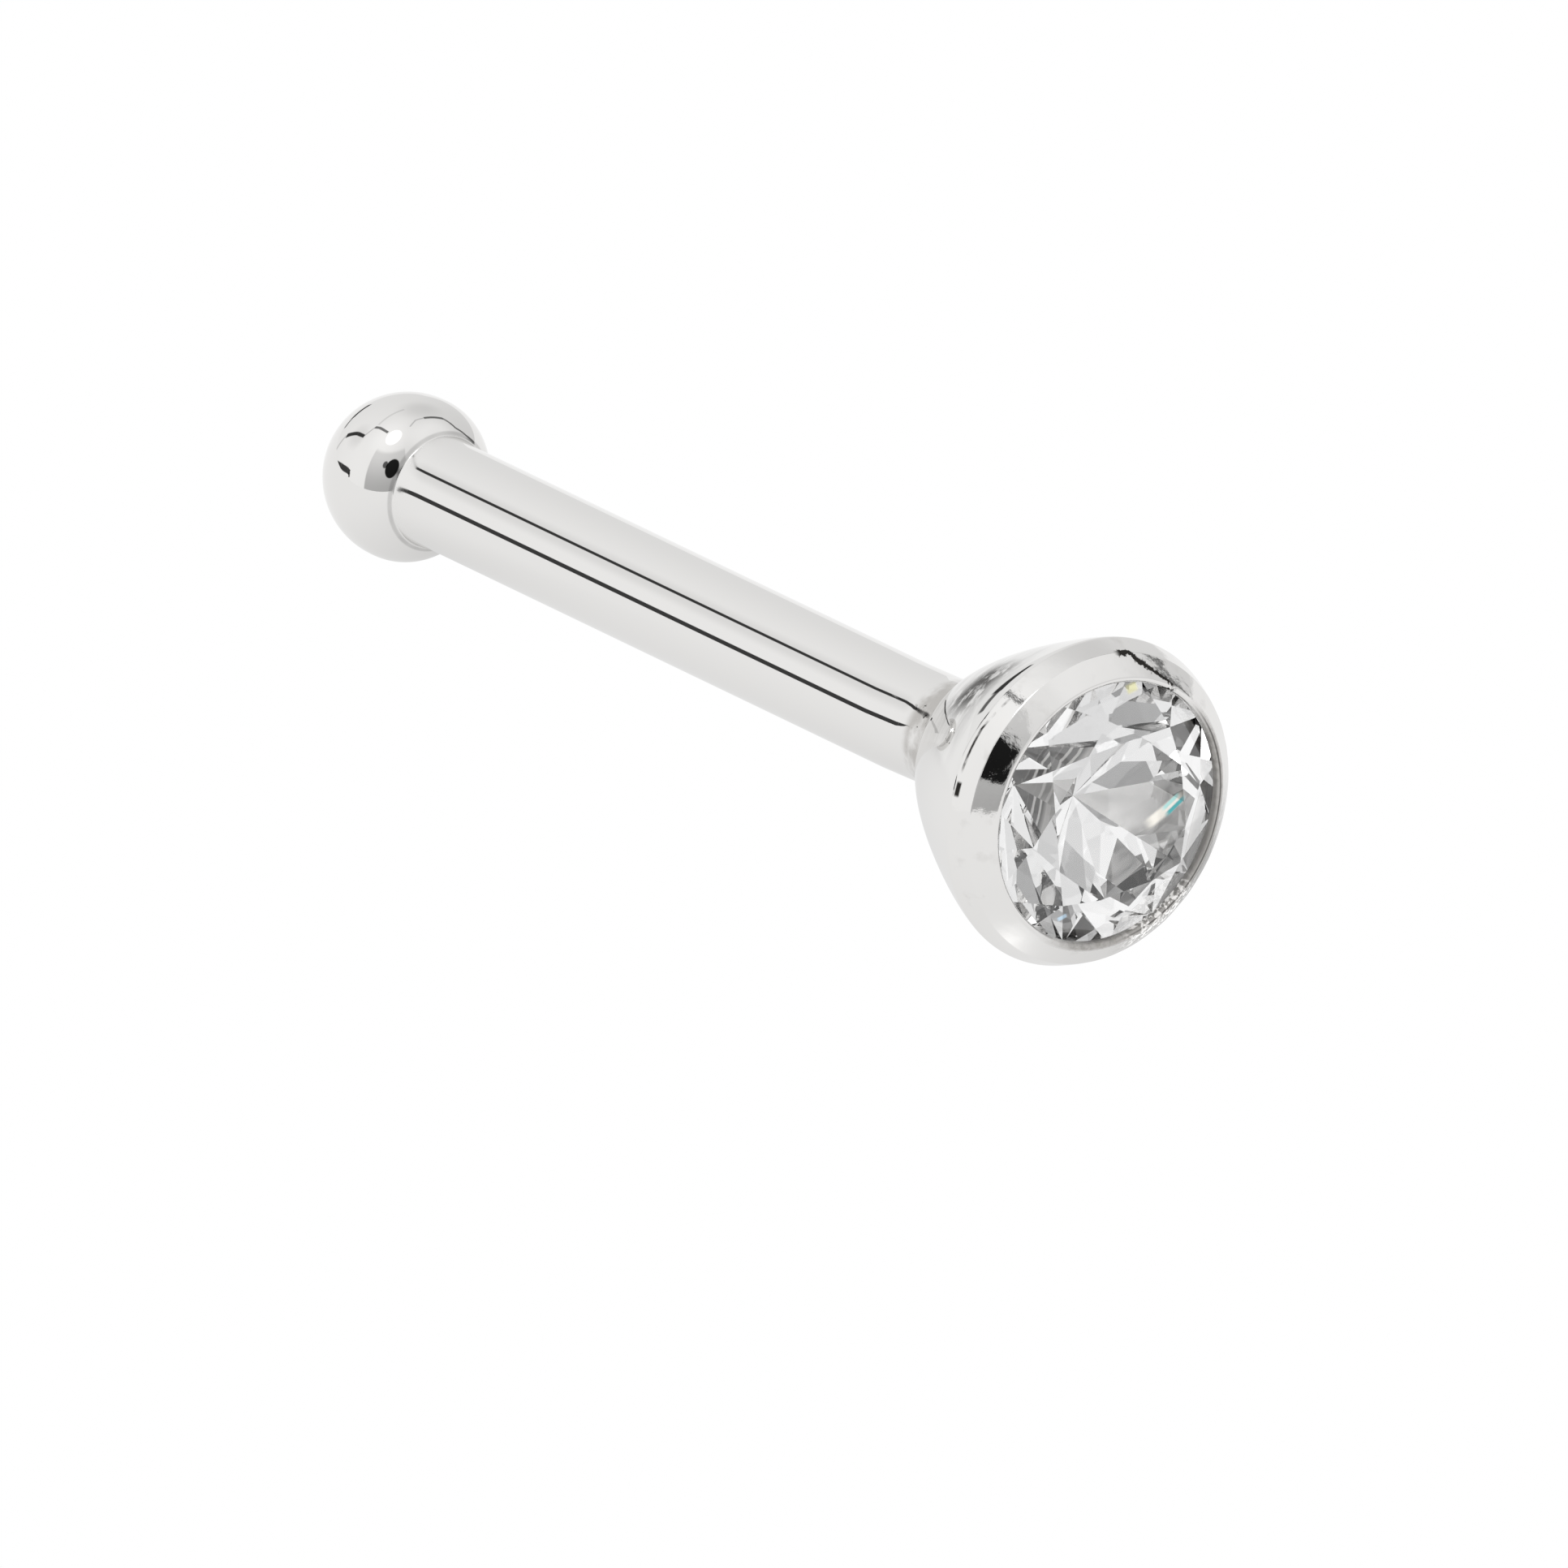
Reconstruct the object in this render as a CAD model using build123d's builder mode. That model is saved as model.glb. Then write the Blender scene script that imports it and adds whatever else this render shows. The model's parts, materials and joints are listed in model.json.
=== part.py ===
from build123d import *
import math
import os

# Nose stud: a soldered metal bezel, post and ball end, and the round brilliant stone that the bezel holds.
# The stud lies on its side, as it would on a table: the ball end and the rim of the bezel touch the plane Z = 0.
# X runs along the stud towards the stone, Z points up, and the origin is under the middle of the stud.
# Lengths are in millimetres. "Along" is measured on the stud's own axis, from the centre of the ball.

# Post and ball end
post_radius = 0.405             # 20 gauge wire, 0.81 mm across
ball_radius = 0.62
ball_waist = 0.027              # short straight at the ball's widest circle
shoulder_bend = 0.429           # radius of the flatter half of the ball, which faces the post
shoulder_turn = 56.0            # degrees, until the ball meets the neck
neck_bend = 0.02                # radius of the hollow corner between them
neck_flare = 9.0                # degrees, of the neck to the axis at that corner

# Solder collar, where the post enters the bezel
collar_start = 6.50
collar_end = 6.80
collar_radius = 0.46
collar_fillet = 0.04

# Bezel, a small bell-shaped cup
bezel_widest = 8.14
bezel_radius = 1.23
flare_angle = 57.0              # of the wall to the axis, where it leaves the collar
flare_pull = 0.43               # length of the wall curve's handle at the collar
brim_pull = 0.07                # length of the wall curve's handle at the widest circle

# Rim, in bends that follow each other: each has a radius, and turns the outline by a number of degrees
brim_bend, brim_turn = 0.06, 19.0
band_bend, band_turn = 2.0, 4.5         # nearly flat
crease_bend, crease_turn = 0.025, 22.0
face_bend, face_turn = 1.1, 9.5         # nearly flat
crest_bend = 0.03                       # turns until the lip's inner wall runs along the axis

# Stone, a round brilliant
stone_radius = 1.06
table_radius = 0.614            # to the corners of the eight-sided table
table_along = 8.573
crown_angle = 31.5
star_radius = 0.75              # to the outer corners of the star facets
girdle_height = 0.03
girdle_sides = 32
pavilion_angle = 46.5           # a deep cut
lower_half_length = 0.5         # share of the way from the girdle to the culet
stone_turn = 2.0                # turns the middle of a table side away from straight up
mains = 8                       # facets in a full row, and corners of the table

# Seat of the stone
stone_gap = 0.02
lip_gap = 0.03                  # along, from the crown's kites to the lip's underside
bearing_radius = 0.95           # inner edge of the cone that the stone sits on
well_floor_radius = 0.42
well_floor = 7.10

# Stone heights, from zero at the top of the girdle
facet_step = 360 / mains
half_step = facet_step / 2
crown_slope = math.tan(math.radians(crown_angle))
pavilion_slope = math.tan(math.radians(pavilion_angle))
crown_height = (stone_radius - table_radius) * crown_slope
girdle_along = table_along - crown_height

# The stud's axis rises from the ball to the wider bezel, so that both touch the table it lies on
reach_to_rim = math.hypot(bezel_radius, bezel_widest)
rest_angle = math.acos(ball_radius / reach_to_rim) - math.atan2(bezel_widest, bezel_radius)
run = math.cos(rest_angle)
rise = math.sin(rest_angle)
top_corner = table_radius * math.cos(math.radians(half_step - stone_turn))
front_end = table_along * run + top_corner * rise
ball_centre = Vector((ball_radius - front_end) / 2, 0, ball_radius)
stud_direction = Vector(run, 0, rise)
stud_axis = Axis(ball_centre, stud_direction)

# On the profile plane, x is the way along the stud and y the distance from its axis
profile_plane = Plane(origin=ball_centre, x_dir=stud_direction, z_dir=(0, -1, 0))

# The stone's plane lies on the top of the girdle, with x towards the upper side of the lying stud
stone_plane = Plane(
    origin=ball_centre + stud_direction * girdle_along,
    x_dir=profile_plane.y_dir,
    z_dir=stud_direction,
)

# ---- Metal: ball end, post, solder collar and bezel are one soldered piece ----

flare_handle = (
    collar_end + flare_pull * math.cos(math.radians(flare_angle)),
    collar_radius + flare_pull * math.sin(math.radians(flare_angle)),
)

with BuildPart() as bezel_post:
    # The outside, from the pole of the ball to the crest of the rim
    with BuildSketch(profile_plane):
        with BuildLine():
            CenterArc((0, 0), ball_radius, 90, 90)
            waist = Line((0, ball_radius), (ball_waist, ball_radius))
            shoulder = JernArc(waist @ 1, waist % 1, shoulder_bend, -shoulder_turn)
            corner = JernArc(shoulder @ 1, shoulder % 1, neck_bend, shoulder_turn - neck_flare)
            neck_drop = (corner @ 1).Y - post_radius
            neck_sweep = neck_drop / (1 - math.cos(math.radians(neck_flare)))
            neck = JernArc(corner @ 1, corner % 1, neck_sweep, neck_flare)
            Polyline(neck @ 1, (collar_start, post_radius), (collar_end, collar_radius))
            Bezier(
                (collar_end, collar_radius),
                flare_handle,
                (bezel_widest - brim_pull, bezel_radius),
                (bezel_widest, bezel_radius),
            )
            brim = JernArc((bezel_widest, bezel_radius), (1, 0), brim_bend, -brim_turn)
            band = JernArc(brim @ 1, brim % 1, band_bend, -band_turn)
            crease = JernArc(band @ 1, band % 1, crease_bend, -crease_turn)
            face = JernArc(crease @ 1, crease % 1, face_bend, -face_turn)
            crest_turn = 180 - brim_turn - band_turn - crease_turn - face_turn
            crest = JernArc(face @ 1, face % 1, crest_bend, -crest_turn)
            Polyline(crest @ 1, ((crest @ 1).X, 0), (-ball_radius, 0))
        make_face()
    revolve(axis=stud_axis)

    # The seat: mouth, lip with its underside parallel to the crown, bore, bearing cone, and the well
    lip_radius = (crest @ 1).Y
    mouth = (crest @ 1).X + 2 * crest_bend
    bore_radius = stone_radius + stone_gap
    lip_foot = girdle_along + (stone_radius - lip_radius) * crown_slope + lip_gap
    bore_top = girdle_along - stone_gap * crown_slope + lip_gap
    bearing_top = girdle_along - girdle_height - stone_gap
    bearing_bottom = bearing_top - (bore_radius - bearing_radius) * pavilion_slope
    with BuildSketch(profile_plane):
        with BuildLine():
            Polyline(
                (mouth, 0),
                (mouth, lip_radius),
                (lip_foot, lip_radius),
                (bore_top, bore_radius),
                (bearing_top, bore_radius),
                (bearing_bottom, bearing_radius),
                (well_floor, well_floor_radius),
                (well_floor, 0),
                close=True,
            )
        make_face()
    revolve(axis=stud_axis, mode=Mode.SUBTRACT)

    # Soften the crease where the wall leaves the collar
    on_crease = profile_plane.from_local_coords((collar_end, collar_radius))
    fillet(bezel_post.edges().filter_by(GeomType.CIRCLE).sort_by_distance(on_crease)[0], collar_fillet)
bezel_post.part.label = "bezel_post"

# ---- Stone: a round brilliant, cut facet by facet from a many-sided blank ----


def stone_point(radius, angle, height):
    """A point of the stone, at a radius and an angle in degrees about its own axis."""
    turned = math.radians(angle + stone_turn)
    return stone_plane.from_local_coords((radius * math.cos(turned), radius * math.sin(turned), height))


def facet_plane(*corners):
    """The plane through three corners of a facet, with its z pointing out of the stone."""
    a, b, c = corners
    normal = (b - a).cross(c - a)
    if normal.dot(a - stone_plane.origin) < 0:
        normal = -normal
    return Plane(origin=a, z_dir=normal)


star_height = (stone_radius - star_radius * math.cos(math.radians(half_step))) * crown_slope
pavilion_bottom = -girdle_height - stone_radius * pavilion_slope
lower_radius = stone_radius * (1 - lower_half_length)
lower_height = pavilion_bottom + lower_radius * math.cos(math.radians(half_step)) * pavilion_slope

with BuildPart() as stone:
    with BuildSketch(stone_plane.offset(pavilion_bottom)):
        RegularPolygon(stone_radius, girdle_sides, rotation=stone_turn)
    extrude(amount=crown_height - pavilion_bottom)

    for side in range(mains):
        table_side = side * facet_step
        corner = table_side + half_step
        # A kite on the crown and a main on the pavilion, from a table corner to the girdle and on to the culet
        kite_tip = stone_point(stone_radius, corner, 0)
        left_star = stone_point(star_radius, table_side, star_height)
        right_star = stone_point(star_radius, table_side + facet_step, star_height)
        split(bisect_by=facet_plane(kite_tip, left_star, right_star), keep=Keep.BOTTOM)
        main_tip = stone_point(stone_radius, corner, -girdle_height)
        left_lower = stone_point(lower_radius, table_side, lower_height)
        right_lower = stone_point(lower_radius, table_side + facet_step, lower_height)
        split(bisect_by=facet_plane(main_tip, left_lower, right_lower), keep=Keep.BOTTOM)

    for side in range(mains):
        table_side = side * facet_step
        # A star facet between two table corners
        table_corners = [
            stone_point(table_radius, table_side + turn, crown_height) for turn in (-half_step, half_step)
        ]
        star_tip = stone_point(star_radius, table_side, star_height)
        split(bisect_by=facet_plane(star_tip, *table_corners), keep=Keep.BOTTOM)
        # An upper and a lower half on each side of the star's tip, down and up to the girdle
        for turn in (-half_step, half_step):
            upper_corners = [stone_point(stone_radius, angle, 0) for angle in (table_side, table_side + turn)]
            split(bisect_by=facet_plane(star_tip, *upper_corners), keep=Keep.BOTTOM)
            lower_tip = stone_point(lower_radius, table_side, lower_height)
            lower_corners = [
                stone_point(stone_radius, angle, -girdle_height) for angle in (table_side, table_side + turn)
            ]
            split(bisect_by=facet_plane(lower_tip, *lower_corners), keep=Keep.BOTTOM)
stone.part.label = "stone"

os.makedirs("parts", exist_ok=True)
export_step(bezel_post.part, "parts/bezel_post.step")
export_step(stone.part, "parts/stone.step")
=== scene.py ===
import json
import math

import bpy
from bpy.props import FloatProperty, FloatVectorProperty, IntProperty, PointerProperty
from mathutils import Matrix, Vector


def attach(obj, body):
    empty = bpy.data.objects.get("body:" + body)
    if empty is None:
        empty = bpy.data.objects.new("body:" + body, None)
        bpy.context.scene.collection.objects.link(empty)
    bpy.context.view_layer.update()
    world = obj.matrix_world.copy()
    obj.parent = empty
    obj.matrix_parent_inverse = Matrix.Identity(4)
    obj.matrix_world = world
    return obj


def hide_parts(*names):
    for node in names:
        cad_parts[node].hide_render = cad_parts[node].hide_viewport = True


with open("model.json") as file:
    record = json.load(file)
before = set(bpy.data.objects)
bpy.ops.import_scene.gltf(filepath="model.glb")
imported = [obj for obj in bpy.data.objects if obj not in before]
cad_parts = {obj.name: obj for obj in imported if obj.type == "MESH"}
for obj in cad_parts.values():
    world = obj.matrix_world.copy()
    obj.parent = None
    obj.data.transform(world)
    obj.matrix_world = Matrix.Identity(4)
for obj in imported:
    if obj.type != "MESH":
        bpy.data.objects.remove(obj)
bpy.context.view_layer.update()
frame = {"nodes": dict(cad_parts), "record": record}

bl_info = {
    "name": "Lying Nose Stud",
    "version": (1, 0, 0),
    "blender": (4, 5, 0),
    "location": "3D View > Sidebar > Nose Stud",
    "description": "Turns and burnishes a silver nose stud, polishes its stone and lights it",
    "category": "Add Mesh",
}

MM = 0.001
DEGREES = math.degrees(1)       # in a radian
METAL_NODE = "bezel_post"
STONE_NODE = "stone"

# The stud lies on its ball and on the widest circle of its bezel. Its axis comes from the piercing
# mount, whose direction points from the bezel to the ball, and which lies on the post's middle.
piercing = frame["record"]["mounts"][0]
STUD_AXIS = -Vector(piercing["axis"]).normalized()
BALL_RADIUS = 0.62 * MM
BALL_CENTRE = Vector(piercing["pos_m"]) + STUD_AXIS * (
    (BALL_RADIUS - piercing["pos_m"][2]) / STUD_AXIS.z
)
REST_ANGLE = math.asin(STUD_AXIS.z)


def length(name, description, millimetres):
    """A size that the user types in, in Blender's own units."""
    return FloatProperty(
        name=name, description=description, default=millimetres * MM,
        unit="LENGTH", subtype="DISTANCE", precision=6,
    )


def colour(name, description, default):
    """A colour that the user picks."""
    return FloatVectorProperty(
        name=name, description=description, default=default,
        size=3, min=0, max=1, subtype="COLOR",
    )


def brightness(name, description, default):
    """A strength of light or shade that the user sets."""
    return FloatProperty(name=name, description=description, default=default, min=0)


class SilverSettings(bpy.types.PropertyGroup):
    """Sizes and finish of the soldered metal. Along is measured from the centre of the ball."""

    ball_waist: length("Ball waist", "Short straight at the ball's widest circle", 0.027)
    shoulder_bend: length(
        "Ball shoulder", "Radius of the flatter half of the ball, facing the post", 0.429
    )
    neck_bend: length("Neck corner", "Radius of the hollow corner between ball and neck", 0.02)
    post_radius: length("Post radius", "Half of the wire's thickness", 0.405)
    collar_start: length("Collar start", "Along, where the solder begins to thicken the post", 6.5)
    collar_end: length("Collar end", "Along, where the solder meets the wall of the bezel", 6.8)
    collar_radius: length("Collar radius", "Radius of the solder at the wall", 0.46)
    bezel_widest: length("Widest circle along", "Along, the widest circle of the bezel", 8.14)
    bezel_radius: length("Bezel radius", "Radius of the widest circle", 1.23)
    burnish: length("Burnishing", "Unevenness that the burnisher left on the rim", 0.004)
    lumps: length("Solder lumps", "Unevenness of the solder collar", 0.004)
    cup_offset: length(
        "Cup offset", "How far the foot of the bezel sits above the post's middle", 0.018
    )
    turn_steps: IntProperty(
        name="Turn steps", description="Sections round the axis", default=256, min=48, max=320
    )
    silver: colour("Silver", "Colour of the polished silver", (0.80, 0.792, 0.78))
    solder: colour("Solder", "Colour of the dull solder at the collar", (0.52, 0.505, 0.485))
    # Also the colour of the painted shade and of the painted reflections of dark seams
    tarnish_and_painted_dark: colour("Tarnish", "Colour of the darkest smudges", (0.03, 0.028, 0.026))
    dirt: colour("Dirt", "Colour of the polishing dirt on the lip", (0.40, 0.385, 0.365))
    well: colour("Well", "Colour of the blackened metal under the stone", (0.035, 0.032, 0.030))
    # Strength of the painted glow in the well and of the painted sparkles on the far lip
    painted_glow_strength: brightness("Well shine", "Light that the stone gathers in the well", 0.6)


class StoneSettings(bpy.types.PropertyGroup):
    """Look of the cut stone."""

    ior: FloatProperty(
        name="Refraction", description="Index of refraction", default=1.98, min=1, max=3
    )
    tint: colour("Tint", "Colour of the stone", (1.0, 1.0, 1.0))
    fire: brightness("Fire", "Brightness of the coloured flashes", 0.5)


class StageSettings(bpy.types.PropertyGroup):
    """Floor, light tent and camera."""

    floor: colour("Floor", "Colour of the floor", (1.0, 1.0, 1.0))
    floor_seen: brightness("Floor light", "Brightness that the metal sees in the floor", 0.97)
    shade: brightness("Shade", "Depth of the shade under the stud", 0.27)
    tent: brightness("Tent light", "Brightness of the tent's white cloth", 1.0)
    lamp: brightness("Lamp", "Brightness of the lamp on top of the tent", 4.0)
    lens: FloatProperty(
        name="Lens", description="Focal length in millimetres", default=1500, min=50
    )
    distance: length("Camera distance", "From the middle of the picture to the camera", 470.2)


# ---- Shader trees ----


class Wire:
    """A socket that works like a number: maths on it adds Math nodes."""

    def __init__(self, tree, socket):
        self.tree = tree
        self.socket = socket

    def maths(self, operation, *values):
        """Adds one Math node with these values or wires on its sockets."""
        node = self.tree.nodes.new("ShaderNodeMath")
        node.operation = operation
        for entry, value in zip(node.inputs, values):
            if isinstance(value, Wire):
                self.tree.links.new(value.socket, entry)
            else:
                entry.default_value = value
        return Wire(self.tree, node.outputs[0])

    def __add__(self, other):
        return self.maths("ADD", self, other)

    def __radd__(self, other):
        return self.maths("ADD", other, self)

    def __sub__(self, other):
        return self.maths("SUBTRACT", self, other)

    def __rsub__(self, other):
        return self.maths("SUBTRACT", other, self)

    def __mul__(self, other):
        return self.maths("MULTIPLY", self, other)

    def __rmul__(self, other):
        return self.maths("MULTIPLY", other, self)

    def __pow__(self, other):
        return self.maths("POWER", self, other)

    def __abs__(self):
        return self.maths("ABSOLUTE", self)


def strongest(first, *masks):
    """The largest of several masks."""
    for mask in masks:
        first = first.maths("MAXIMUM", first, mask)
    return first


class Finish:
    """One shader tree, of a material or of the world."""

    def __init__(self, owner):
        owner.use_nodes = True
        self.tree = owner.node_tree
        self.tree.nodes.clear()

    def node(self, kind, settings=None, sockets=None, out=0):
        """Adds a node: its settings first, then its sockets' values or wires. Gives one output."""
        made = self.tree.nodes.new("ShaderNode" + kind)
        for name, value in (settings or {}).items():
            setattr(made, name, value)
        for name, value in (sockets or {}).items():
            if isinstance(value, Wire):
                self.tree.links.new(value.socket, made.inputs[name])
            else:
                made.inputs[name].default_value = value
        return Wire(self.tree, made.outputs[out])

    def step(self, value, start, end):
        """0 before start and 1 after end, smooth between; start may be the larger one."""
        low, high, first, last = (start, end, 0.0, 1.0) if start < end else (end, start, 1.0, 0.0)
        return self.node(
            "MapRange",
            {"interpolation_type": "SMOOTHSTEP"},
            {"Value": value, "From Min": low, "From Max": high, "To Min": first, "To Max": last},
        )

    def band(self, value, low, high, soft):
        """1 between low and high, and 0 outside."""
        return self.step(value, low - soft, low + soft) * self.step(value, high + soft, high - soft)

    def mix(self, share_of_b, a, b):
        """Colour a where the share is 0 and colour b where it is 1."""
        return self.node("Mix", {"data_type": "RGBA"}, {"Factor": share_of_b, 6: a, 7: b}, out=2)

    def split(self, vector):
        """The three parts of a vector."""
        outputs = self.node("SeparateXYZ", None, {"Vector": vector}).socket.node.outputs
        return [Wire(self.tree, outputs[i]) for i in range(3)]

    def noise(self, place, scale, detail, roughness, distortion=0.0):
        """Soft patches between 0 and 1; a larger scale makes them smaller."""
        sockets = {
            "Vector": place, "Scale": scale, "Detail": detail,
            "Roughness": roughness, "Distortion": distortion,
        }
        return self.node("TexNoise", None, sockets)

    def stud_place(self, stretch=(1, 1, 1)):
        """Place in millimetres: x along the stud's axis from the ball's centre, y and z across."""
        settings = {"vector_type": "TEXTURE"}
        sockets = {
            "Vector": self.node("TexCoord", out="Object"),
            "Location": BALL_CENTRE,
            "Rotation": (0, -REST_ANGLE, 0),
            "Scale": [MM / s for s in stretch],
        }
        return self.node("Mapping", settings, sockets)

    def finish(self, shader, kind="Material"):
        """Ends the tree of a material or of the world with its shader."""
        made = self.tree.nodes.new("ShaderNodeOutput" + kind)
        self.tree.links.new(shader.socket, made.inputs["Surface"])


def rgba(tone):
    """A colour with full cover."""
    return (*tone, 1)


BLACK = (0.0, 0.0, 0.0, 1)


# ---- Turned metal ----


class Outline:
    """A line of points (along, radius) drawn by bends and straights that follow each other."""

    def __init__(self, start, heading):
        self.points = [start]
        self.heading = heading

    def bend(self, size, turn, steps):
        """An arc. The turn in degrees is towards the axis, or away from it if negative."""
        side = math.copysign(1, turn)
        along, radius = self.points[-1]
        start = math.radians(self.heading)
        middle = along + side * size * math.sin(start), radius - side * size * math.cos(start)
        for i in range(1, steps + 1):
            angle = math.radians(self.heading - turn * i / steps)
            spoke = side * size * math.sin(angle), side * size * math.cos(angle)
            self.points.append((middle[0] - spoke[0], middle[1] + spoke[1]))
        self.heading -= turn

    def run(self, point, steps=1):
        """A straight to a point."""
        start = self.points[-1]
        for i in range(1, steps + 1):
            self.points.append(tuple(a + (b - a) * i / steps for a, b in zip(start, point)))
        self.heading = math.degrees(math.atan2(point[1] - start[1], point[0] - start[0]))

    def curve(self, corners, steps, skip):
        """A curve from its first to its last corner, pulled by the two between.

        It leaves out its first few points, and ends along the axis.
        """
        for i in range(skip, steps + 1):
            t = i / steps
            weights = ((1 - t) ** 3, 3 * t * (1 - t) ** 2, 3 * t * t * (1 - t), t**3)
            self.points.append(
                tuple(sum(w * c[k] for w, c in zip(weights, corners)) for k in (0, 1))
            )
        self.heading = 0


# Degrees by which the outline turns at the ball's shoulder, and by which the neck opens to it
SHOULDER_TURN = 56
NECK_FLARE = 9
# Length of the bend into the solder collar, and what its cone leaves free before the crease
COLLAR_BEND = 0.1 * MM
CREASE_GAP = 0.02 * MM
# Handles of the wall's curve: (along, radius) at the collar, and along at the brim
FLARE_HANDLE = (0.2342 * MM, 0.3606 * MM)
BRIM_HANDLE = 0.07 * MM
# Bends of the rim that follow each other: radius in millimetres, degrees of turn, and steps
RIM_BENDS = (
    (0.06, 19, 8),              # brim
    (2.0, 4.5, 12),             # band, nearly flat
    (0.025, 25, 6),             # crease
    (2.6, 4, 16),               # burnished face, nearly flat
    (0.03, 127.5, 14),          # crest, until the lip's inner wall runs along the axis
)
# Foot of the lip, then bore, bearing cone and the well under the stone's point: (along, radius)
LIP_FOOT = 8.38
SEAT = ((8.317, 1.08), (8.25, 1.08), (8.113, 0.95), (7.1, 0.42), (7.1, 0.0))
# Edges that turn by more degrees than this stay sharp
SMOOTH_ANGLE = 50


def metal_outline(s):
    """Half section from the ball's pole to the floor of the well, as points (along, radius)."""
    line = Outline((-BALL_RADIUS, 0.0), 90)
    line.bend(BALL_RADIUS, 90, 36)
    line.run((s.ball_waist, BALL_RADIUS))
    line.bend(s.shoulder_bend, SHOULDER_TURN, 26)
    line.bend(s.neck_bend, NECK_FLARE - SHOULDER_TURN, 8)
    drop = line.points[-1][1] - s.post_radius
    line.bend(drop / (1 - math.cos(math.radians(NECK_FLARE))), -NECK_FLARE, 8)

    line.run((s.collar_start - COLLAR_BEND, s.post_radius), 16)
    slope = math.atan2(s.collar_radius - s.post_radius, s.collar_end - s.collar_start)
    line.bend(COLLAR_BEND / math.tan(slope / 2), -math.degrees(slope), 8)
    line.run((s.collar_end - CREASE_GAP, s.collar_radius - CREASE_GAP * math.tan(slope)), 8)

    flare = (s.collar_end + FLARE_HANDLE[0], s.collar_radius + FLARE_HANDLE[1])
    brim = (s.bezel_widest, s.bezel_radius)
    before_brim = (s.bezel_widest - BRIM_HANDLE, s.bezel_radius)
    line.curve(((s.collar_end, s.collar_radius), flare, before_brim, brim), 56, 2)
    for size, turn, steps in RIM_BENDS:
        line.bend(size * MM, turn, steps)
    line.run((LIP_FOOT * MM, line.points[-1][1]), 2)
    for along, radius in SEAT:
        line.run((along * MM, radius * MM))
    return line.points


def place_on_stud(along, radius):
    """A point of the outline, drawn above the axis of the lying stud."""
    above = Vector((-STUD_AXIS.z, 0, STUD_AXIS.x))
    return BALL_CENTRE + STUD_AXIS * along + above * radius


def polar(co):
    """How far along the stud's axis a point lies, and how far from the axis."""
    from_ball = co - BALL_CENTRE
    along = from_ball.dot(STUD_AXIS)
    return along, (from_ball - STUD_AXIS * along).length


def begin(place):
    """A single vertex in edit mode: a small plane merged to its centre."""
    bpy.ops.object.select_all(action="DESELECT")
    bpy.ops.mesh.primitive_plane_add(size=0.1 * MM, location=place)
    bpy.ops.object.mode_set(mode="EDIT")
    bpy.ops.mesh.merge(type="CENTER")
    return bpy.context.object


def hill(value, start, top_start, top_end, end):
    """0 outside start and end, 1 between the tops, straight slopes between."""
    up = (value - start) / (top_start - start)
    down = (end - value) / (end - top_end)
    return max(0.0, min(1.0, up, down))


def displaced(piece, name, weight, depth, **settings):
    """Applies a displacement, weighted by each point's place along the axis and its radius."""
    group = piece.vertex_groups.new(name=name)
    for vertex in piece.data.vertices:
        amount = weight(*polar(vertex.co))
        if amount > 0:
            group.add([vertex.index], amount, "REPLACE")
    modifier = piece.modifiers.new(name, "DISPLACE")
    modifier.vertex_group = name
    modifier.strength = depth
    for setting, value in settings.items():
        setattr(modifier, setting, value)
    bpy.ops.object.modifier_apply(modifier=modifier.name)
    piece.vertex_groups.remove(piece.vertex_groups[name])


def clouds(name, size):
    """Settings of a displacement by a soft cloud pattern of this size."""
    texture = bpy.data.textures.new(name, "CLOUDS")
    texture.noise_scale = size
    texture.noise_depth = 2
    return {"texture": texture, "texture_coords": "LOCAL"}


# Marks on the metal, in millimetres along the axis from the ball's centre
NECK_JOINT = 0.374              # dark line in the hollow corner between ball and neck
COLLAR = (6.54, 6.93)
CREASE = 6.87                   # dull ring where the wall leaves the collar
# The wall's painted shade, then the painted reflections: a smear, a dash, and a line that climbs
# over the rim
WALL_SHADE = (6.95, 7.95)
REFLECTION_SMEAR = 7.60
EDGE = 8.168                    # that the burnisher drew over the rim
DASH = 8.178
CLIMBING_REFLECTION = 8.309
# The well: along and radius of its floor, and the slope of its wall
WELL_FLOOR, WELL_RADIUS, WELL_SLOPE = 7.1, 0.42, 0.523
# Radius of the painted shade line along the lip's inner edge, where it meets the stone
LIP_SHADE_LINE = 1.002


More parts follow.
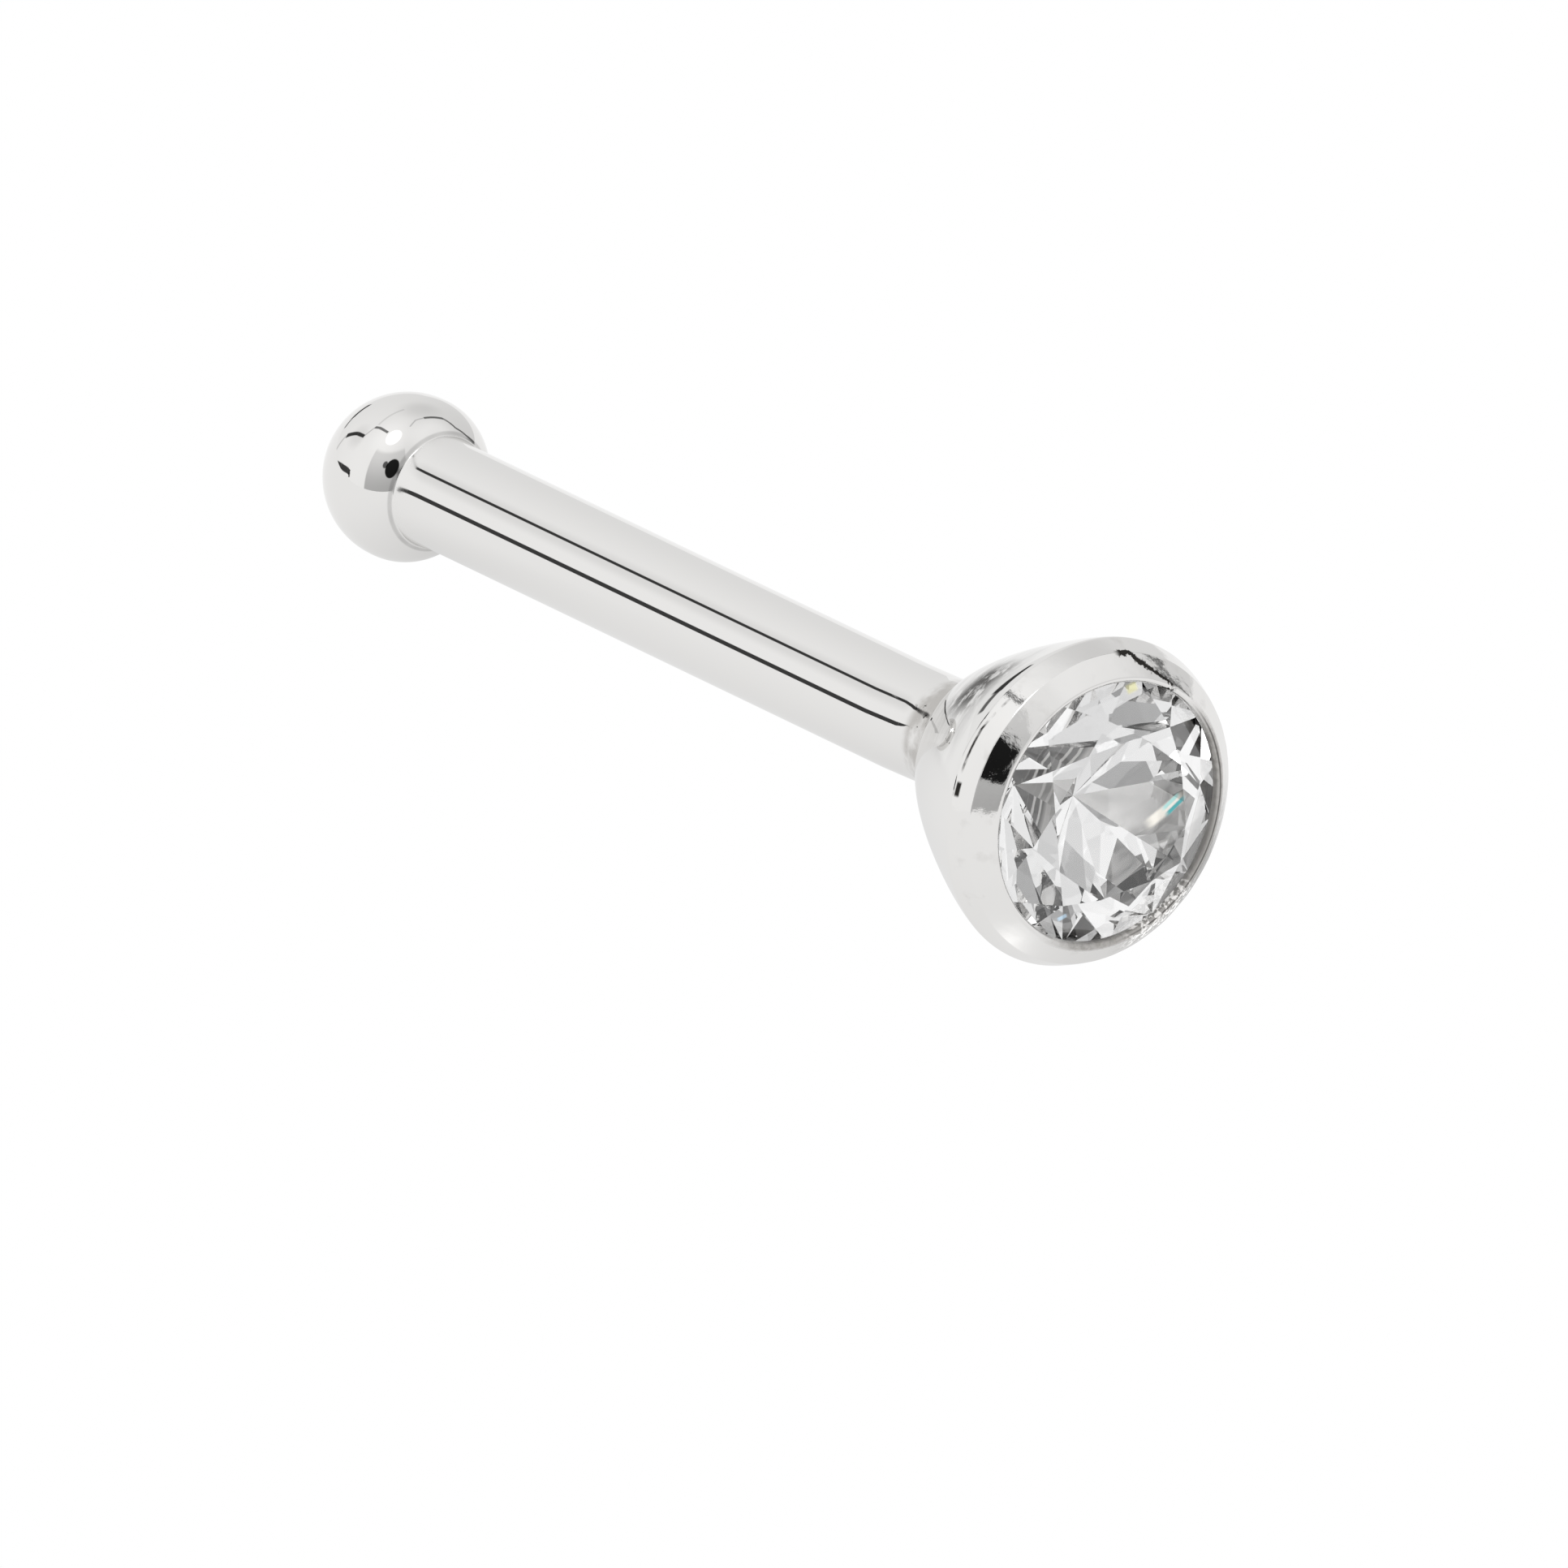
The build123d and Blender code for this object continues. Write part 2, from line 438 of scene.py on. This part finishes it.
class SilverFinish(Finish):
    """The silver's shader tree, with the places and the noises that its marks share.

    A turn is in degrees round the axis: 0 is the front and 90 straight up. A far turn is the same,
    and runs on past 180 through the underside.
    """

    def __init__(self, owner):
        super().__init__(owner)
        place = self.stud_place()
        self.along, across, up = self.split(place)
        self.radius = (across * across + up * up) ** 0.5
        self.turn = up.maths("ARCTAN2", up, 0.0 - across) * DEGREES
        self.far_turn = self.turn + 360.0 * self.step(self.turn, 0.0, -0.001)
        self.grain = self.noise(place, 40.0, 3.0, 0.6)
        self.patches = self.noise(place, 5.0, 3.0, 0.55)
        self.chatter = self.noise(place, 24.0, 4.0, 0.65)
        self.pitting = self.noise(place, 16.0, 3.0, 0.6)
        self.streaks = self.noise(self.stud_place((1, 0.3, 0.3)), 11.0, 4.0, 0.6, 0.4)
        self.smudging = self.noise(self.stud_place((1, 0.6, 0.6)), 9.0, 5.0, 0.6)

    def ring(self, middle, edge, core):
        """A line round the axis: 0 from the edge outwards and 1 within the core."""
        return self.step(abs(self.along - middle), edge, core)

    def near(self, start, end, soft):
        """The part of the way round between two turns."""
        return self.band(self.turn, start, end, soft)

    def far(self, start, end, soft):
        """The part of the way round between two far turns."""
        return self.band(self.far_turn, start, end, soft)

    def beyond(self, start):
        """Degrees past a turn, and 0 before it."""
        return self.turn.maths("MAXIMUM", self.turn - start, 0.0)

    def painted_reflection_smear(self):
        """A painted dark reflection on the upper side of the bezel's wall, drawn out round the
        axis.
        """
        painted_reflection_smear = self.ring(REFLECTION_SMEAR + 0.0054 * (self.turn - 51.0), 0.33, 0.06) * self.near(47, 72, 7)
        return painted_reflection_smear * self.step(self.smudging, 0.34, 0.52)

    def edge_painted_reflection(self):
        """Painted reflections of dark seams: a line along the edge that the burnisher drew over the
        rim, and a dash in front of it.
        """
        line = self.ring(EDGE + 0.0030 * self.beyond(43.0), 0.014, 0.003) * self.near(28, 56, 2)
        dash = self.ring(DASH, 0.024, 0.012) * self.near(18.5, 23.5, 0.6)
        return strongest(line * self.step(self.streaks, 0.40, 0.60), dash)

    def climbing_painted_reflection(self):
        """A ragged dark line that climbs over the rim's face: a painted reflection of a dark seam.
        """
        past = self.beyond(107.0)
        off_line = abs(self.along - (CLIMBING_REFLECTION + 0.0266 * past ** 0.5))
        width = 0.020 - 0.0007 * past + 0.05 * (self.grain - 0.5)
        return self.step(off_line - width, 0.004, -0.003) * self.near(101, 129, 1.5)

    def well(self, s, inside):
        """Colour of the well and the painted light in it: a dark wall, and a floor with the drill's
        rings.

        Painted sheen: the floor is silver and glows straight on, and is black with silver rings at
        a slant; the far wall glows.
        """
        silver, black = rgba(s.silver), rgba(s.well)
        floor = inside * self.step(self.radius, 0.39, 0.33) * self.step(self.along, 7.16, 7.11)
        slanted = self.node("LayerWeight", None, {"Blend": 0.5}, out="Facing")
        slanted = self.step(slanted, 0.09, 0.13)
        wave = self.radius * 95.0 + 4.0 * self.patches
        rings = self.step(wave.maths("SINE", wave), 0.1, 0.9) * self.step(self.radius, 0.18, 0.24)
        floor_tone = self.mix(slanted, silver, black)
        floor_tone = self.mix(slanted * (0.06 + 0.9 * rings), floor_tone, silver)
        tone = self.mix(floor, self.mix(0.42, black, silver), floor_tone)

        # Painted glow on the well's floor, strongest straight on, and on the far side of its wall
        painted_sheen = (1.0 - slanted) * (0.13 + 0.16 * self.step(self.streaks, 0.3, 0.7))
        wall = inside * (1.0 - floor) * self.far(140, 300, 20) * self.step(self.streaks, 0.2, 0.6)
        return tone, floor * (painted_sheen + 0.25 * slanted * rings) + 0.45 * wall


def silver_finish(s):
    """Polished silver: bright post and ball, dull solder, a worn rim with dirt, painted shade and
    painted reflections on the wall and rim, painted sparkles on the far lip, and a dark well with a
    painted glow.
    """
    material = bpy.data.materials.new("polished_silver")
    f = SilverFinish(material)
    silver, dull, tarnish_and_painted_dark = rgba(s.silver), rgba(s.solder), rgba(s.tarnish_and_painted_dark)

    # Parts of the metal
    neck = f.step(f.along, 0.366, 0.384) * f.step(f.along, 0.60, 0.42)
    collar = f.band(f.along, *COLLAR, 0.06)
    rim = f.step(f.along, 8.13, 8.17)
    well_wall = WELL_RADIUS + WELL_SLOPE * (f.along - WELL_FLOOR)
    inside = f.step(f.radius - well_wall, 0.06, 0.03)
    inside = inside * f.step(f.along, 8.34, 8.31) * f.step(f.along, 7.05, 7.09)
    crest = f.step(f.along, 8.36, 8.38) * f.step(f.radius, 1.05, 1.02)
    far_lip = crest * f.far(150, 300, 14)
    far_face = f.step(f.along, 8.30, 8.32) * f.step(f.radius, 1.15, 1.11) * f.far(190, 264, 10)

    # Wear: rough grey solder with a few dark pits, a smudged rim, and a dark line in the neck's
    # hollow corner; painted shade on the wall, and a painted shade line along the lip
    solder = f.step(f.patches, 0.32, 0.62) * collar
    pits = f.step(f.pitting, 0.60, 0.68) * collar * f.near(24, 60, 8)
    joint = f.ring(NECK_JOINT, 0.014, 0.004) * (0.2 + 0.6 * f.patches)
    # Painted shade on the upper front of the bezel's wall
    wall_painted_shade = f.band(f.along, *WALL_SHADE, 0.12) * f.near(32, 90, 10) * f.step(f.streaks, 0.25, 0.75)
    smudge = f.step(f.patches, 0.56, 0.75) * rim
    # Painted shade in the gap where the lip meets the stone, on the far side
    lip_shade_line = f.step(abs(f.radius - LIP_SHADE_LINE), 0.009, 0.003) * f.step(f.along, 8.40, 8.42)
    lip_shade_line = lip_shade_line * f.far(150, 262, 12)
    # The well's colour, and its painted glow as shine
    well, shine = f.well(s, inside)

    base = f.mix(solder + 0.25 * smudge, silver, dull)
    base = f.mix(strongest(0.3 * wall_painted_shade, 0.5 * joint), base, tarnish_and_painted_dark)
    base = f.mix(far_lip, base, f.mix(f.step(f.chatter, 0.35, 0.6), rgba(s.dirt), dull))
    base = f.mix(0.6 * far_face * f.step(f.chatter, 0.60, 0.40), base, dull)
    base = f.mix(0.75 * lip_shade_line, base, tarnish_and_painted_dark)
    base = f.mix(inside, base, well)

    dull_wall = 0.3 * f.ring(CREASE, 0.09, 0.03) + 0.10 * solder
    roughness = dull_wall + 0.08 * smudge + 0.13 * neck + 0.3 * far_lip + 0.35 * inside

    # The burnisher's fine ripples, deeper and sparkling on the far side of the rim
    sparkling = f.far(225, 275, 8) * rim
    relief = 0.01 * f.grain + f.chatter * (0.35 * rim + 2.5 * sparkling)
    ripples = {"Strength": 0.35, "Distance": 0.006 * MM, "Height": relief}
    # Painted sparkles: glints on the far lip and face, glowing in the emission
    painted_sparkles = strongest(far_lip, far_face) * f.far(228, 262, 6) * f.step(f.chatter, 0.50, 0.55)

    polished = f.node(
        "BsdfPrincipled", None,
        {
            "Base Color": base,
            "Metallic": 1.0 - 0.7 * far_lip,
            "Roughness": roughness,
            "Normal": f.node("Bump", None, ripples),
            # Painted glow in the well and painted sparkles on the far lip
            "Emission Color": f.mix(shine + painted_sparkles, BLACK, silver),
            "Emission Strength": s.painted_glow_strength,
        },
    )
    # A black matte shader for the pits and for the painted reflections of dark seams
    pits_and_painted_reflections_black = f.node("BsdfDiffuse", None, {"Color": tarnish_and_painted_dark})
    pit_and_painted_reflection_share = strongest(0.85 * f.painted_reflection_smear(), f.edge_painted_reflection(), f.climbing_painted_reflection(), pits)
    f.finish(f.node("MixShader", None, {0: pit_and_painted_reflection_share, 1: polished, 2: pits_and_painted_reflections_black}))
    return material


class NOSESTUD_OT_silver(bpy.types.Operator):
    """Turns the ball, post, collar and bezel as one piece and burnishes the rim"""

    bl_idname = "nosestud.silver"
    bl_label = "Turned Silver"

    def execute(self, context):
        s = context.scene.nosestud_silver
        points = metal_outline(s)
        piece = begin(place_on_stud(*points[0]))
        for before, after in zip(points, points[1:]):
            step = place_on_stud(*after) - place_on_stud(*before)
            bpy.ops.mesh.extrude_vertices_move(TRANSFORM_OT_translate={"value": step})
        bpy.ops.mesh.select_all(action="SELECT")
        bpy.ops.mesh.spin(steps=s.turn_steps, angle=math.tau, center=BALL_CENTRE, axis=STUD_AXIS)
        bpy.ops.mesh.select_all(action="SELECT")
        bpy.ops.mesh.remove_doubles(threshold=0.00005 * MM)
        bpy.ops.mesh.normals_make_consistent(inside=False)
        bpy.ops.object.mode_set(mode="OBJECT")
        bpy.ops.object.transform_apply(location=True, rotation=True, scale=True)
        bpy.ops.object.shade_smooth_by_angle(angle=math.radians(SMOOTH_ANGLE))

        def on_rim(along, radius):
            brim = hill(along, s.bezel_widest, s.bezel_widest + 0.05 * MM, 9 * MM, 10 * MM)
            return brim * (radius > 0.99 * MM)

        def on_collar(along, radius):
            return hill(along, 6.4 * MM, 6.6 * MM, 6.8 * MM, 6.95 * MM) * (radius < 0.62 * MM)

        def on_foot(along, radius):
            return hill(along, 6.1 * MM, 6.55 * MM, 6.9 * MM, 7.9 * MM)

        displaced(piece, "burnished_rim", on_rim, s.burnish, **clouds("burnisher", 0.12 * MM))
        displaced(piece, "solder_collar", on_collar, s.lumps, **clouds("solder", 0.2 * MM))
        displaced(piece, "cup_foot", on_foot, s.cup_offset, direction="Z", mid_level=0.0)

        piece.name = piece.data.name = "silver_stud"
        piece.data.materials.clear()
        piece.data.materials.append(silver_finish(s))
        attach(piece, "root")
        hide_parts(METAL_NODE)
        return {"FINISHED"}


# ---- Stone ----


# Painted fire: a colour, then the middle (across, up), slant, half length and half width of its
# painted streak
PAINTED_FIRE = (
    ((1.0, 0.96, 0.86), (0.40, -0.05, 22, 0.22, 0.060)),
    ((0.40, 0.85, 0.82), (0.45, 0.000, 28, 0.10, 0.022)),
    ((0.0, 0.36, 0.40), (0.49, -0.045, 28, 0.12, 0.026)),
    ((0.50, 0.48, 0.22), (0.29, 0.875, 0, 0.07, 0.04)),
    ((0.45, 0.66, 0.85), (-0.477, -0.666, 30, 0.04, 0.03)),
)


def stone_finish(s):
    """Clear stone, with the coloured flashes of its fire painted on the crown."""
    material = bpy.data.materials.new("clear_cut_stone")
    f = Finish(material)
    along, across, up = f.split(f.stud_place())
    # The painted fire isn't seen again in its own reflections
    crown = f.step(along, 8.27, 8.30) * f.node("LightPath", out="Is Camera Ray")

    def painted_flash(y, z, slant, long, wide):
        """A painted flash: its middle, the direction of its length in degrees and its half sizes.
        """
        cos, sin = math.cos(math.radians(slant)), math.sin(math.radians(slant))
        lengthways = (across - y) * cos + (up - z) * sin
        aside = (up - z) * cos - (across - y) * sin
        streak = f.step(abs(lengthways), long, 0.5 * long) * f.step(abs(aside), wide, 0.4 * wide)
        return streak * crown

    # The painted flashes colour the stone and glow in its emission
    tint, glow = rgba(s.tint), BLACK
    for tone, place in PAINTED_FIRE:
        share = painted_flash(*place)
        tint = f.mix(share, tint, rgba(tone))
        glow = f.mix(share, glow, rgba(tone))
    shader = f.node(
        "BsdfPrincipled", None,
        {
            "Base Color": tint, "Roughness": 0.0, "IOR": s.ior, "Transmission Weight": 1.0,
            "Emission Color": glow, "Emission Strength": s.fire,
        },
    )
    f.finish(shader)
    return material


class NOSESTUD_OT_stone(bpy.types.Operator):
    """Polishes the cut stone and makes it clear"""

    bl_idname = "nosestud.stone"
    bl_label = "Clear Stone"

    def execute(self, context):
        stone = frame["nodes"][STONE_NODE]
        stone.material_slots[0].material = stone_finish(context.scene.nosestud_stone)
        return {"FINISHED"}


# ---- Stage ----


def towards(azimuth, elevation):
    """The direction with this azimuth and elevation in degrees."""
    turn, rise = math.radians(azimuth), math.radians(elevation)
    return Vector(
        (math.cos(rise) * math.cos(turn), math.cos(rise) * math.sin(turn), math.sin(rise))
    )


# Places on the tent are azimuth and elevation in degrees.
# The brighter side of the cloth, then its patches: brightness added, place, radius and softness
BRIGHT_SIDE = (-115, 25)
PATCHES = (
    (0.12, (-75, 72, 24, 20)),
    (0.15, (42, 42, 26, 14)),
    (-0.12, (122, 50, 16, 12)),
    (-0.13, (-155, 30, 10, 7)),
)
LAMP = (-62, 72, 9.0, 3.5)
# Azimuths of the front opening, then the lens in it and a knob beside the lens
OPENING = (-88, -12)
LENS = (-37.5, 27.5, 12, 0.8)
KNOB = (-53, 33.5, 4.5, 1.0)
# Seams: width in degrees, darkness, and the corners of each
SEAMS = (
    (5.8, 0.95, ((-162, -6), (-143.5, 1.6), (-131, 5.1), (-125, 5.5))),
    (4.0, 0.85, ((-125.5, 5.5), (-124, 1.5))),
    (2.5, 0.30, ((-168, -8), (-169, 12))),
    (3.8, 0.95, ((-168.5, 13), (-159, 29), (-149, 37.5))),
    (2.2, 0.35, ((-149, 37.5), (-152, 45), (-157, 51))),
    (3.2, 0.80, ((-157, 51), (-151, 59), (-133, 68), (-113, 72.5))),
    (3.5, 0.18, ((-162, 54), (171, 56), (146, 53))),
    (2.6, 0.85, ((175, 2.4), (168.6, 4.2))),
    (4.4, 0.95, ((168.6, 4.2), (159, 5.8))),
    (2.0, 0.35, ((45, 78), (88, 71), (89.5, 60))),
    (4.0, 0.80, ((89.5, 60), (89, 38))),
    (3.0, 0.70, ((89, 38), (83, 30))),
    (3.0, 0.80, ((83, 30), (79, 24), (81, 10), (86, 0))),
)


def tent_light(s):
    """A tent of white cloth with seams, a lamp on top, and an opening with the lens in it."""
    world = bpy.data.worlds.new("light_tent")
    f = Finish(world)
    way = f.node("TexCoord", out="Generated")
    x, y, z = f.split(way)
    azimuth = x.maths("ARCTAN2", y, x) * DEGREES
    height = z.maths("ARCSINE", z) * DEGREES

    def facing(direction):
        """How much the way looks in a direction: 1 straight towards it, 0 square to it."""
        return f.node("VectorMath", {"operation": "DOT_PRODUCT"}, {0: way, 1: direction}, out=1)

    def spot(turn, rise, radius, soft):
        """A round patch of a radius in degrees."""
        from_middle = facing(towards(turn, rise))
        from_middle = from_middle.maths("ARCCOSINE", from_middle) * DEGREES
        return f.step(from_middle, radius + soft, radius - soft)

    def seam(width, corners):
        """A dark line through corners, straight between them."""
        parts = []
        for first, last in zip(corners, corners[1:]):
            first, last = towards(*first), towards(*last)
            side = first.cross(last).normalized()
            line = f.step(abs(facing(side)) * DEGREES, width / 2 + 0.5, width / 2 - 0.5)
            for end in (side.cross(first), last.cross(side)):
                line = line * f.step(facing(end), -0.012, 0.004)
            parts.append(line)
        return strongest(*parts)

    # Light that has come through the stone is mixed by its facets, so the lens is less dark in it
    mixed = f.node("LightPath", out="Transmission Depth")
    mixed = mixed.maths("MINIMUM", mixed, 1.0)
    light = 0.87 + 0.15 * facing(towards(*BRIGHT_SIDE))
    for change, patch in PATCHES:
        light = light + change * spot(*patch)
    opening = f.band(azimuth + 0.1 * (height - 20), *OPENING, 1.5) * f.step(height, 53, 46)
    depth = 0.22 + 0.26 * f.step(height, 45, 0)
    light = light * (1.0 - opening * depth * (1.0 - 0.5 * mixed))
    light = light * (1.0 - (0.98 - 0.38 * mixed) * spot(*LENS)) * (1.0 - 0.85 * spot(*KNOB))
    for width, darkness, corners in SEAMS:
        light = light * (1.0 - darkness * seam(width, corners))
    light = light * s.tent + s.lamp * spot(*LAMP)
    f.finish(f.node("Background", None, {"Color": light, "Strength": 1.0}), "World")
    return world


def floor_finish(s):
    """White board lit from below: even to the camera, and greyer and shaded to the metal."""
    material = bpy.data.materials.new("pale_floor")
    f = Finish(material)
    along, across, _ = f.split(f.node("TexCoord", out="Object"))

    def shade(x, y, size):
        """Shade under a round part, in millimetres: 1 under its middle, and less around."""
        off_middle = (along - x * MM) ** 2.0 + (across - y * MM) ** 2.0
        return (1.0 + off_middle * (size * MM) ** -2) ** -1.5

    # Painted shadows of the stud, and a painted caustic beside the bezel, that only the metal sees
    off_post = (across - 0.2 * MM) * (1 / (0.9 * MM))
    under_post = (1.0 + off_post ** 2.0) ** -1.0 * f.band(along, -3.9 * MM, 2.8 * MM, MM)
    under_ball = shade(-3.98, 0.25, 0.7)
    under_bezel = shade(3.6, 0.45, 1.4)
    behind_bezel = shade(4.2, 1.75, 0.8)
    # A painted caustic: light that the bezel would throw on the floor
    painted_caustic = shade(4.5, -0.9, 0.2)
    dark = 0.9 * under_ball + under_bezel + 0.5 * under_post + 1.7 * behind_bezel
    dark = s.shade * dark
    tone = s.floor_seen * (1.0 - 0.9 * dark.maths("MINIMUM", dark, 0.9)) + 0.35 * painted_caustic
    tone = f.mix(f.node("LightPath", out="Is Camera Ray"), tone, rgba(s.floor))
    f.finish(f.node("Emission", None, {"Color": tone, "Strength": 1.0}))
    return material


FLOOR_SIZE = 1.2
FLOOR_GAP = 0.002 * MM
# The middle of the picture, and the direction from it to the camera
AIM = Vector((1.1879, -0.4752, 0.3331)) * MM
TOWARDS_CAMERA = Vector((0.7152, -0.5380, 0.4462)).normalized()


class NOSESTUD_OT_stage(bpy.types.Operator):
    """Lays a pale floor, hangs the light tent and places the camera"""

    bl_idname = "nosestud.stage"
    bl_label = "Floor, Tent and Camera"

    def execute(self, context):
        scene = context.scene
        s = scene.nosestud_stage
        bpy.ops.object.select_all(action="DESELECT")
        bpy.ops.mesh.primitive_plane_add(size=FLOOR_SIZE, location=(0, 0, -FLOOR_GAP))
        floor = bpy.context.object
        bpy.ops.object.transform_apply(location=True, rotation=True, scale=True)
        floor.name = "floor"
        floor.data.materials.append(floor_finish(s))

        camera = bpy.data.cameras.new("camera")
        camera.sensor_width = 36
        camera.lens = s.lens
        camera.clip_start, camera.clip_end = 0.01, 10
        camera_object = bpy.data.objects.new("camera", camera)
        scene.collection.objects.link(camera_object)
        camera_object.location = AIM + TOWARDS_CAMERA * s.distance
        camera_object.rotation_euler = TOWARDS_CAMERA.to_track_quat("Z", "Y").to_euler()
        scene.camera = camera_object

        scene.world = tent_light(s)
        scene.world.cycles.sampling_method = "NONE"
        scene.view_settings.view_transform = "Standard"
        scene.cycles.max_bounces = 14
        scene.cycles.glossy_bounces = 8
        scene.cycles.transmission_bounces = 12
        scene.cycles.sample_clamp_indirect = 10
        return {"FINISHED"}


# ---- Add-on ----


# Each step's operator and its settings, in the order in which the stud is made
STEPS = (
    ("nosestud.silver", "nosestud_silver"),
    ("nosestud.stone", "nosestud_stone"),
    ("nosestud.stage", "nosestud_stage"),
)


class NOSESTUD_PT_panel(bpy.types.Panel):
    """Lists the steps that make the stud, with their sizes and colours"""

    bl_idname = "NOSESTUD_PT_panel"
    bl_label = "Nose Stud"
    bl_space_type = "VIEW_3D"
    bl_region_type = "UI"
    bl_category = "Nose Stud"

    def draw(self, context):
        for operator, settings in STEPS:
            box = self.layout.box()
            box.operator(operator)
            group = getattr(context.scene, settings)
            for name in group.__annotations__:
                box.prop(group, name)


SETTINGS = {
    "nosestud_silver": SilverSettings,
    "nosestud_stone": StoneSettings,
    "nosestud_stage": StageSettings,
}
CLASSES = (
    *SETTINGS.values(),
    NOSESTUD_OT_silver,
    NOSESTUD_OT_stone,
    NOSESTUD_OT_stage,
    NOSESTUD_PT_panel,
)


def register():
    for cls in CLASSES:
        bpy.utils.register_class(cls)
    for name, group in SETTINGS.items():
        setattr(bpy.types.Scene, name, PointerProperty(type=group))


def unregister():
    for name in SETTINGS:
        delattr(bpy.types.Scene, name)
    for cls in reversed(CLASSES):
        bpy.utils.unregister_class(cls)


def main():
    register()
    bpy.ops.nosestud.silver()
    bpy.ops.nosestud.stone()
    bpy.ops.nosestud.stage()


if __name__ == "__main__":
    main()
